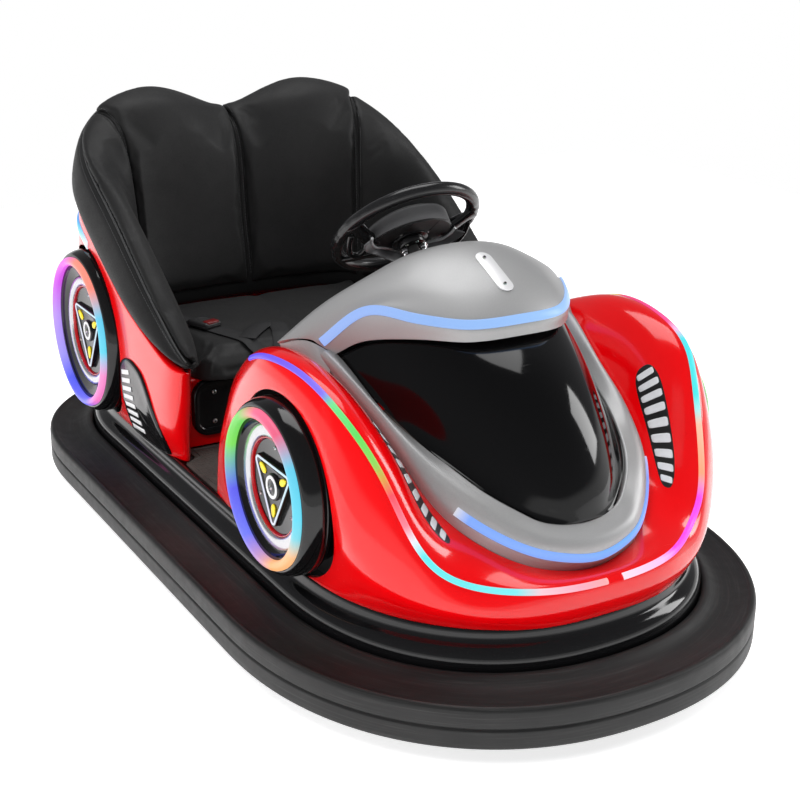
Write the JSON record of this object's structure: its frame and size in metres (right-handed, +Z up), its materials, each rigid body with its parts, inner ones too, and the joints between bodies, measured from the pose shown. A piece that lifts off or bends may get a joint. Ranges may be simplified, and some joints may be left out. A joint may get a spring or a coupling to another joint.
{
  "type": "bumper car",
  "caption": "Two-seat battery bumper car: moulded body with a domed hood and fenders, lit show wheels, wraparound bench seat and a rubber bumper all round.",
  "frame": {"origin": "on the floor under the middle of the car's bounding box", "axes": "front towards -Y, +X is the car's left side, +Z up"},
  "size_m": [1.052, 1.954, 0.915],
  "materials": {
    "rubber_black": "matt moulded rubber with fine scuffs",
    "base_black": "polished black gel coat",
    "body_red": "high gloss red gel coat",
    "silver_paint": "satin silver metallic lacquer",
    "hood_black": "mirror gloss black",
    "plate_white": "brushed plate",
    "light_blue": "lit diffuser strip",
    "light_multi": "lit diffuser strip that changes colour along its length",
    "show_silver": "silver and black show rim",
    "show_black": "gloss black moulded tyre",
    "leather_black": "black artificial leather with fine grain",
    "frame_steel": "black powder coat",
    "steel_bright": "zinc plated steel",
    "matt_black": "fine textured black plastic",
    "wheel_tyre": "solid rubber tread",
    "wheel_hub": "cast hub",
    "mat_brown": "pebbled floor mat",
    "wheel_black": "gloss black steering wheel rim",
    "spoke_grey": "grey spoke plate"
  },
  "bodies": {
    "car": {"bumper_ring": "rubber_black", "base_pan": "base_black", "chassis_frame": "frame_steel", "floor_mat": "mat_brown", "front_body": "body_red", "hood_frame": "silver_paint", "hood_panel": "hood_black", "cowl": "silver_paint", "cowl_plate": "plate_white", "cowl_light": "light_blue", "nose_light": "light_blue", "fender_light_left": "light_multi", "fender_light_right": "light_multi", "rear_lights": "light_blue", "dashboard": "base_black", "rear_body": "body_red", "charge_socket": "matt_black", "seat_box": "body_red", "battery_cover": "base_black", "battery": "matt_black", "seat_cushion": "leather_black", "seat_back": "leather_black", "belt_buckle": "matt_black", "side_trims": "base_black", "show_tyres": "show_black", "show_rims": "show_silver", "show_light_rings": "light_multi", "steering_column": "frame_steel", "drive_bracket": "frame_steel", "rear_axle": "steel_bright", "pedal": "steel_bright"},
    "steering_wheel": {"steering_rim": "wheel_black", "steering_spokes": "spoke_grey", "steering_pad": "matt_black", "steering_shaft": "steel_bright"},
    "drive_unit": {"drive_fork": "frame_steel", "drive_motor": "frame_steel"},
    "drive_wheel": {"drive_hub": "wheel_hub", "drive_tyre": "wheel_tyre"},
    "rear_wheel_left": {"rear_hub_left": "wheel_hub", "rear_tyre_left": "wheel_tyre"},
    "rear_wheel_right": {"rear_hub_right": "wheel_hub", "rear_tyre_right": "wheel_tyre"}
  },
  "joints": [
    {"name": "steering", "type": "hinge", "parent": "car", "child": "steering_wheel", "pos_m": [0, -0.15, 0.736], "axis": [0, 0.682, 0.7314], "range_deg": [-120, 120]},
    {"name": "drive_steer", "type": "hinge", "parent": "car", "child": "drive_unit", "pos_m": [0, -0.49, 0.2], "axis": [0, 0, 1], "range_deg": [-120, 120]},
    {"name": "drive_roll", "type": "hinge", "parent": "drive_unit", "child": "drive_wheel", "pos_m": [0, -0.49, 0.075], "axis": [1, 0, 0], "continuous": true},
    {"name": "rear_left_roll", "type": "hinge", "parent": "car", "child": "rear_wheel_left", "pos_m": [0.25, 0.5, 0.07], "axis": [1, 0, 0], "continuous": true},
    {"name": "rear_right_roll", "type": "hinge", "parent": "car", "child": "rear_wheel_right", "pos_m": [-0.25, 0.5, 0.07], "axis": [1, 0, 0], "continuous": true}
  ],
  "couplings": [
    {"joint": "drive_steer", "follows": "steering", "ratio": 1}
  ]
}
